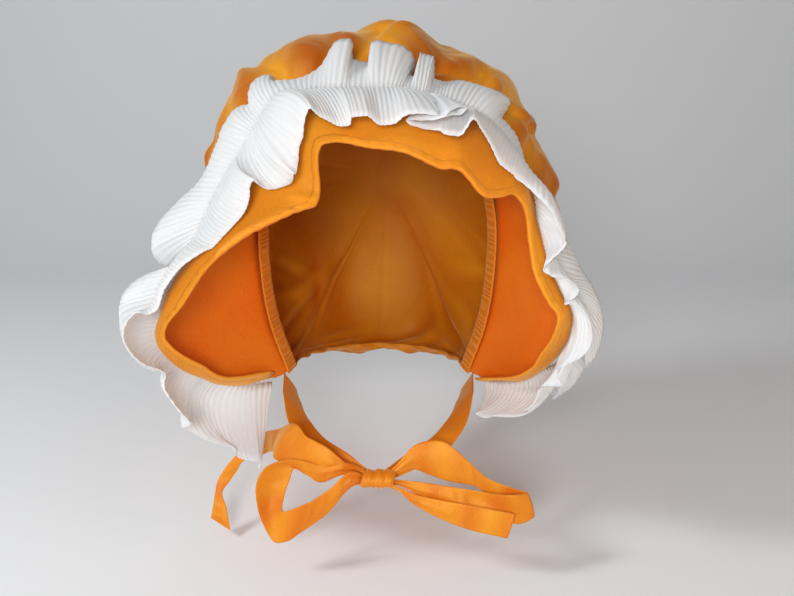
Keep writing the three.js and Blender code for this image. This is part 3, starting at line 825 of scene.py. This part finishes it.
COTTON = {"bloom": (1.0, 0.80, 0.30), "thread_pitch": 0.5, "glow": 0.12, "weave": 0.25, "crumple": 0.2}
ORANGE = cloth_material(
    "orange_cotton", lit=(0.88, 0.34, 0.02), deep=(0.76, 0.115, 0.0005),
    roughness=0.46, sheen=0.4, gloss=0.5, **COTTON,
)
# Painted shade: a darker copy of the orange cotton, so that the crown looks shaded
CROWN_ORANGE_PAINTED_SHADE = cloth_material(
    "orange_crown_painted_shade", lit=(0.78, 0.30, 0.012), deep=(0.46, 0.085, 0.0005),
    roughness=0.46, sheen=0.4, gloss=0.45, **COTTON,
)
RIBBON = cloth_material(
    "orange_ties", lit=(0.88, 0.34, 0.015), deep=(0.66, 0.10, 0.0005),
    roughness=0.42, sheen=0.5, gloss=0.7, **COTTON,
)
WHITE = cloth_material(
    "white_pleated_cloth", lit=(0.80, 0.80, 0.80), deep=(0.74, 0.74, 0.74), bloom=(1, 1, 1),
    thread_pitch=0.35, roughness=0.6, sheen=0.1, gloss=0.35, glow=0.6, weave=0.15, crumple=0.05,
)
ORANGE_THREAD = plain_material("orange_thread", (0.72, 0.26, 0.02), THREAD_ROUGHNESS)
WHITE_THREAD = plain_material("white_thread", (0.82, 0.72, 0.68), THREAD_ROUGHNESS)


# Pieces

def dress(piece, nodes):
    """Tells the frame a piece's body and hides the solids it stands for."""
    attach(piece, "root")
    if nodes:
        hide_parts(*nodes)


def tilted_fold(around, down, at, turn, run, width, depth, bow):
    """Heights of one fold of the crown: a strip of cloth that tilts between two creases."""
    span = 2 * NAPE * CROWN_ROUND
    du = (around - at[0] + span / 2) % span - span / 2
    dv = down - at[1]
    u = du * math.cos(turn) + dv * math.sin(turn)
    v = dv * math.cos(turn) - du * math.sin(turn) + bow * u**2
    return depth * (v / width) * np.exp(-((v / width) ** 2) - (u / run) ** 2)


def creases(around, down):
    """Heights of the crown's folds: the ones seen from the front, and many short ones, always the same."""
    height = np.zeros(np.broadcast(around, down).shape)
    for along, inward, turn, run, width, depth in zip(*CROWN_FOLDS.values()):
        at = (along * CROWN_ROUND, inward * CROWN_DOWN)
        height += tilted_fold(around, down, at, math.radians(turn), run, width, depth, 0)
    pick = np.random.default_rng(CREASE_SEED)
    for _ in range(CREASES):
        at = (pick.uniform(-NAPE, NAPE) * CROWN_ROUND, pick.uniform(*CREASE_INWARD) * CROWN_DOWN)
        turn = math.radians(CREASE_TURN + pick.normal(0, CREASE_TURN_SPREAD))
        run, width = pick.uniform(*CREASE_RUN), pick.uniform(*CREASE_WIDTH)
        depth = pick.choice([-1, 1]) * pick.uniform(*CREASE_SHARE) * CREASE_DEPTH
        height += tilted_fold(around, down, at, turn, run, width, depth, CREASE_BOW * pick.normal())
    return height


def crown_heights(grid, around, down, inward):
    """Heights of the gathers, the folds and the slack back over the plain crown."""
    drift = GATHER_DRIFT * ripple(down, GATHER_DRIFT_PITCH, GATHER_DRIFT_SEED)
    gathers = GATHER_HEIGHT * ripple(around + drift, GATHER_PITCH, GATHER_SEED)
    fade = np.exp(-inward / GATHER_REACH) * ramp(inward, *GATHERS_START)
    folds = creases(around, down) * ramp(inward, *CREASES_START)
    folds = folds * ramp(inward, *CREASES_END) ** CREASES_END_POWER
    x, z = grid[..., 0], grid[..., 2]
    slant = x + SAG_SLANT * z + SAG_DRIFT * ripple(z, SAG_DRIFT_PITCH, SAG_DRIFT_SEED)
    sag = SAG_HEIGHT * ripple(slant, SAG_PITCH, SAG_SEED) * ramp(inward, *SAG_START)
    return gathers * fade + folds + sag


def crown():
    along = NAPE * (2 * np.arange(CROWN_COLUMNS) / CROWN_COLUMNS - 1)
    inward = np.linspace(0, 1, CROWN_ROWS, endpoint=False)[:, None]
    grid = crown_at(along[None], inward)
    around, down = along[None] * CROWN_ROUND, inward * CROWN_DOWN
    height = crown_heights(grid, around, down, inward)
    grid = grid + grid_normals(grid, True) * (height * ramp(inward, *BACK_END))[..., None]
    pole = crown_at(np.zeros(1), np.ones(1))
    last = CROWN_ROWS * CROWN_COLUMNS
    index = np.arange(last).reshape(CROWN_ROWS, CROWN_COLUMNS)
    ring = index[-1]
    cap = [(int(a), last, int(b)) for a, b in zip(ring, np.roll(ring, -1))]
    points = np.concatenate([grid.reshape(-1, 3), pole])
    faces = grid_faces(index, True).tolist() + cap
    uv = np.stack(np.broadcast_arrays(around, down), -1).reshape(-1, 2)
    uv = np.concatenate([uv, [[0, CROWN_DOWN]]]) * MM
    # Painted light and shade: the crown is painted lighter on its raised folds and darker in its creases,
    # and darker all over as painted shade
    painted_light = {"painted_light": np.r_[height.ravel() * FOLD_PAINTED_SHADE - CROWN_PAINTED_SHADE, -CROWN_PAINTED_SHADE]}
    return thickened(mesh_object("crown_bag", points, faces, CROWN_ORANGE_PAINTED_SHADE, uv, painted_light), CROWN_CLOTH)


def brim():
    """Brim with rows that lie close together at its hem."""
    along = np.linspace(-1, 1, BRIM_COLUMNS)
    samples = np.linspace(0, 1, BRIM_SAMPLES)[:, None]
    length = lengths(brim_at(*np.broadcast_arrays(along[None], samples)), 0)
    total = length[-1:]
    hem_room = np.minimum(1, total / (HEM_WIDTH + HEM_SPARE))
    share = np.linspace(0, 1, BRIM_ROWS, endpoint=False)[:, None]
    even_part = share * (total - HEM_ROWS[0] * hem_room)
    wanted = np.concatenate([even_part, total - HEM_ROWS[:, None] * hem_room])
    across = [np.interp(wanted[:, j], length[:, j], samples[:, 0]) for j in range(BRIM_COLUMNS)]
    across = np.stack(across, 1)
    grid = brim_at(np.broadcast_to(along, across.shape), across)
    edge = total - wanted
    place = lengths(grid[-1:], 1)
    pucker = PUCKER_HEIGHT * ripple(place + PUCKER_SLANT * edge, PUCKER_PITCH, PUCKER_SEED)
    pucker = pucker * np.exp(-((edge - PUCKER_MIDDLE) / PUCKER_REACH) ** 2)
    sway = BRIM_WAVE * ripple(place - BRIM_WAVE_SLANT * edge, BRIM_WAVE_PITCH, BRIM_WAVE_SEED)
    sway = sway * np.sin(math.pi * across)
    grid = grid + grid_normals(grid) * (pucker + sway)[..., None]
    from_hem = np.r_[np.full(BRIM_ROWS, np.inf), HEM_ROWS][:, None]
    roll = HEM_ROLL - (HEM_ROLL - HEM_ROLL_LOW) * ramp(np.abs(along), *HEM_LOW_START)
    thick = BRIM_CLOTH + (roll - BRIM_CLOTH) * ramp(from_hem, *HEM_STEP)
    from_round = np.clip(1 - from_hem / HEM_ROUNDING, 0, 1)
    round_edge = np.sqrt(np.clip(1 - from_round**2, HEM_THINNEST, 1))
    # Painted light and shade: the brim's outer side is painted lighter and its inner side darker
    return cloth_wall("brim_cloth", grid, thick * round_edge, ORANGE, sides=BRIM_SIDE_PAINTED_LIGHT)


def pleated_strip(name, grid, number, free, uv, tree, depths, thickness, material):
    """Pleated strip from its middle points, the pleat numbers along it and how free it is across it."""
    rows, columns = grid.shape[:2]
    carried = {
        "pleat": np.broadcast_to(number, (rows, columns)),
        "free": np.broadcast_to(free, (rows, columns)),
    }
    faces = grid_faces(np.arange(rows * columns).reshape(rows, columns))
    uv = np.stack(np.broadcast_arrays(*uv), -1).reshape(-1, 2) * MM
    piece = mesh_object(name, grid.reshape(-1, 3), faces, material, uv, carried)
    return thickened(shaped(piece, tree, depths, material), thickness)


def ruffle(tree):
    fine = np.linspace(-1, 1, RUFFLE_SAMPLES)
    sampled = [ruffle_at(fine, across) for across in RUFFLE_SAMPLE_LINES]
    steps = [np.linalg.norm(np.diff(line, axis=0), axis=1) for line in sampled]
    cloth = np.r_[0, np.cumsum(np.mean(steps, axis=0))]
    pleats = round(cloth[-1] / PLEAT_PITCH)
    number = np.linspace(0, pleats, pleats * PLEAT_POINTS + 1)
    along = np.interp(number / pleats * cloth[-1], cloth, fine)
    across = np.linspace(-1, 1, RUFFLE_ROWS)[:, None]
    grid = ruffle_at(along[None], across)
    uv = (number * PLEAT_PITCH, across * RUFFLE_WIDTH / 2)
    depths = {"Pleat depth": PLEAT_DEPTH, "Depth at the stitching": PLEAT_AT_STITCH}
    return pleated_strip(
        "ruffle_pleated", grid, number, np.abs(across), uv, tree, depths, RUFFLE_CLOTH, WHITE,
    )


def seam_band(tree):
    along = np.linspace(-1, 1, BAND_COLUMNS)
    _, out = seam_frame(along)
    across = np.linspace(-1, 1, BAND_ROWS)[:, None]
    inset = BAND_FRONT_INSET + (BAND_BACK_INSET - BAND_FRONT_INSET) * (1 - across) / 2
    line = smooth_point(SEAM, along)
    grid = line[None] - inset[..., None] * out[None] + (across * BAND_WIDTH / 2)[..., None] * FORWARD
    place = lengths(line[None], 1)
    number = (place + BAND_DRIFT * ripple(place, BAND_DRIFT_PITCH, BAND_SEED)) / BAND_GATHER
    uv = (place, across * BAND_WIDTH / 2)
    depths = {"Pleat depth": BAND_RUCHE, "Depth at the stitching": BAND_RUCHE_AT_STITCH}
    return pleated_strip(
        "seam_band_ruched", grid, number, 1 - across**2, uv, tree, depths, BAND_CLOTH, ORANGE,
    )


def ribbon_grid(upper, lower, swell, near_knot):
    """Cross lines of a ribbon between its two edges, with folds where it nears the knot."""
    v = np.linspace(0, 1, RIBBON_LINES)[None]
    grid = upper[:, None] * (1 - v)[..., None] + lower[:, None] * v[..., None]
    normal = unit(np.cross(lower - upper, np.gradient((upper + lower) / 2, axis=0)))
    facing = np.sign((normal * FORWARD).sum(-1, keepdims=True))
    hump = swell[:, None] * np.sin(math.pi * v)
    width = np.linalg.norm(lower - upper, axis=-1)[:, None]
    pressed = (RIBBON_WIDTH / np.maximum(width, RIBBON_NARROWEST)) ** 2 - 1
    spare = np.sqrt(np.clip(pressed, 0, FOLD_SPARE_MOST))
    folds = RIBBON_FOLD * np.minimum(width, FOLD_WIDEST) * spare
    folds = folds * np.sin(2 * math.pi * FOLD_WAVES * v + FOLD_SHIFT) * near_knot[:, None]
    return grid + (normal * facing)[:, None] * (hump + folds)[..., None]


def with_lengths(columns, points):
    """Columns of a ribbon with its length along their points, and places at even steps of that length."""
    chord = np.r_[0, np.cumsum(np.linalg.norm(np.diff(points, axis=0), axis=1))]
    return {**columns, "along": chord}, np.linspace(0, chord[-1], int(chord[-1] / RIBBON_STEP))


def ribbon_middle(edges):
    """Points midway between the two edges of a ribbon."""
    return np.stack([edges[axis] + edges[axis + "_low"] for axis in "xyz"], -1) / 2


def bow_ribbon(name, edges, seed):
    keyed, at = with_lengths(edges, ribbon_middle(edges))
    upper = smooth_point(keyed, at)
    lower = smooth_point(keyed, at, ("x_low", "y_low", "z_low"))
    from_knot = at if "tail" in name else np.minimum(at, at[-1] - at)
    waves = BOW_WAVE * ripple(at, BOW_WAVE_PITCH, seed)
    waves = waves + BOW_RIPPLE * ripple(at, BOW_RIPPLE_PITCH, seed + BOW_RIPPLE_SEED_STEP)
    grid = ribbon_grid(upper, lower, smooth(keyed, "swell", at) + waves, np.exp(-from_knot / FOLD_REACH))
    # Painted sheen: bands of lighter and darker tone along the ribbon, standing for the light and dark of
    # satin
    tone_and_painted_light = RIBBON_PAINTED_SHEEN * ripple(at, RIBBON_PAINTED_SHEEN_PITCH, seed + PAINTED_SHEEN_SEED_STEP)[:, None]
    return cloth_wall(name, grid, TIE_CLOTH, RIBBON, tone_and_painted_light=tone_and_painted_light)


def tie_strap(name, route, seed):
    keyed, at = with_lengths(route, np.stack([route[axis] for axis in "xyz"], -1))
    centre = smooth_point(keyed, at)
    tangent = unit(np.gradient(centre, axis=0))
    side = unit(np.cross(tangent, FORWARD))
    turn = np.radians(smooth(keyed, "turn", at))[:, None]
    side = side * np.cos(turn) + np.cross(tangent, side) * np.sin(turn)
    half = smooth(keyed, "wide", at)[:, None] / 2
    waves = STRAP_WAVE * ripple(at, STRAP_WAVE_PITCH, seed)
    near_knot = np.exp(-(at[-1] - at) / FOLD_REACH)
    grid = ribbon_grid(centre - side * half, centre + side * half, waves, near_knot)
    return cloth_wall(name, grid, TIE_CLOTH, RIBBON)


def knot():
    """Flat wrap of tie cloth round the bow's middle."""
    turns = np.linspace(0, 2 * math.pi, KNOT_COLUMNS, endpoint=False)
    across = np.linspace(-1, 1, KNOT_ROWS)[:, None]
    groove = KNOT_GROOVE * np.exp(-((across - KNOT_GROOVE_AT) / KNOT_GROOVE_WIDTH) ** 2)
    waist = 1 - groove - KNOT_END * np.abs(across) ** KNOT_END_POWER
    bend = KNOT_BROAD_BEND * np.sin(turns + KNOT_BROAD_SHIFT)
    crease = KNOT_BROAD * np.sin(across * KNOT_BROAD_RATE + bend)
    crease = crease + KNOT_FINE * np.sin(across * KNOT_FINE_RATE + KNOT_FINE_TURNS * turns)
    x = across * KNOT_HALF_WIDTH + KNOT_SKEW * np.sin(turns)
    y = (KNOT_HALF_DEPTH * waist + crease) * np.cos(turns)
    z = (KNOT_HALF_HEIGHT * waist + crease) * np.sin(turns)
    grid = KNOT_AT + np.stack(np.broadcast_arrays(x, y, z), -1)
    return cloth_wall("bow_knot_wrap", grid, TIE_CLOTH, RIBBON, closed=True)


def stitch_line(name, points, sizes, material, tree):
    """Stitches along a line of points."""
    edges = np.stack([np.arange(len(points) - 1), np.arange(1, len(points))], -1)
    mesh = bpy.data.meshes.new(name)
    mesh.from_pydata((points * MM).tolist(), edges.tolist(), [])
    return shaped(linked(name, mesh), tree, sizes, material)


def hem_stitches(tree):
    along = np.linspace(-HEM_STITCH_END, HEM_STITCH_END, HEM_STITCH_POINTS)
    _, shoulder, hem = brim_lines(along)
    fall = np.maximum(np.linalg.norm(hem - shoulder, axis=1), LEAST_FALL)
    across = 1 - HEM_STITCH_SHARE * (HEM_WIDTH - HEM_STITCH_INSET) / fall
    line = over_brim(along, across, np.full_like(along, HEM_STITCH_LIFT))
    return stitch_line("hem_stitches", line, HEM_STITCH, ORANGE_THREAD, tree)


def gather_stitches(tree):
    along = np.linspace(-GATHER_STITCH_END, GATHER_STITCH_END, GATHER_STITCH_POINTS)
    line = over_brim(along, gather_line(along), np.full_like(along, GATHER_STITCH_LIFT))
    return stitch_line("gather_stitches", line, GATHER_STITCH, WHITE_THREAD, tree)


# Setting

def camera():
    data = bpy.data.cameras.new("photo_camera")
    data.lens = CAMERA_LENS
    data.sensor_width = CAMERA_SENSOR
    data.sensor_fit = "HORIZONTAL"
    data.clip_start = CAMERA_NEAR * MM
    made = linked("photo_camera", data)
    made.location = Vector(CAMERA_AT) * MM
    made.rotation_euler = (math.radians(90 - CAMERA_TILT), 0, 0)
    bpy.context.scene.camera = made


def soft_lamp(name, at, size, power, colour):
    data = bpy.data.lights.new(name, "AREA")
    data.shape = "DISK"
    data.size = size
    data.energy = power
    data.color = colour
    made = linked(name, data)
    made.location = at
    made.rotation_euler = (Vector(LAMP_AIM) - Vector(at)).to_track_quat("-Z", "Y").to_euler()


def studio():
    bend = np.radians(np.linspace(0, 90, FLOOR_BEND_LINES))
    wall = FLOOR_BEND_START + FLOOR_BEND_RADIUS
    depth = np.r_[-FLOOR_REACH, FLOOR_BEND_START + FLOOR_BEND_RADIUS * np.sin(bend), wall]
    height = np.r_[0, FLOOR_BEND_RADIUS * (1 - np.cos(bend)), FLOOR_REACH] + FLOOR_Z
    sides = (-FLOOR_REACH, FLOOR_REACH)
    points = np.concatenate([np.stack([np.full_like(depth, x), depth, height], -1) for x in sides])
    faces = grid_faces(np.arange(len(points)).reshape(2, -1))
    floor = mesh_object("floor", points, faces, plain_material("pale_floor", FLOOR_COLOUR, FLOOR_ROUGHNESS))
    world = bpy.data.worlds.new("studio")
    world.use_nodes = True
    world.node_tree.nodes["Background"].inputs["Color"].default_value = (*WORLD_COLOUR, 1)
    world.node_tree.nodes["Background"].inputs["Strength"].default_value = WORLD_STRENGTH
    scene = bpy.context.scene
    scene.world = world
    scene.view_settings.view_transform = "Standard"
    scene.view_settings.look = "None"
    for name, lamp in LAMPS.items():
        soft_lamp(name, **lamp)


def build():
    camera()
    studio()
    stitches = stitches_tree()
    pleats = pleats_tree()
    dress(
        crown(), ["crown_side", "crown_back"],
    )
    hem = hem_stitches(stitches)
    dress(hem, [])
    dress(
        brim(), ["brim"],
    )
    dress(
        seam_band(pleats), ["seam_band"],
    )
    gathers = gather_stitches(stitches)
    dress(gathers, [])
    dress(
        ruffle(pleats), ["ruffle"],
    )
    mirrored = {**TIE, "x": -TIE["x"], "turn": -TIE["turn"]}
    straps = {
        "tie_right": tie_strap("tie_right_strap", TIE, TIE_RIGHT_SEED),
        "tie_left": tie_strap("tie_left_strap", mirrored, TIE_LEFT_SEED),
    }
    for node, strap in straps.items():
        dress(strap, [node])
    dress(
        knot(), ["bow_knot"],
    )
    for seed, (node, edges) in enumerate(BOW.items(), FIRST_BOW_SEED):
        ribbon = bow_ribbon(f"{node}_ribbon", edges, seed)
        dress(
            ribbon, [node],
        )


build()
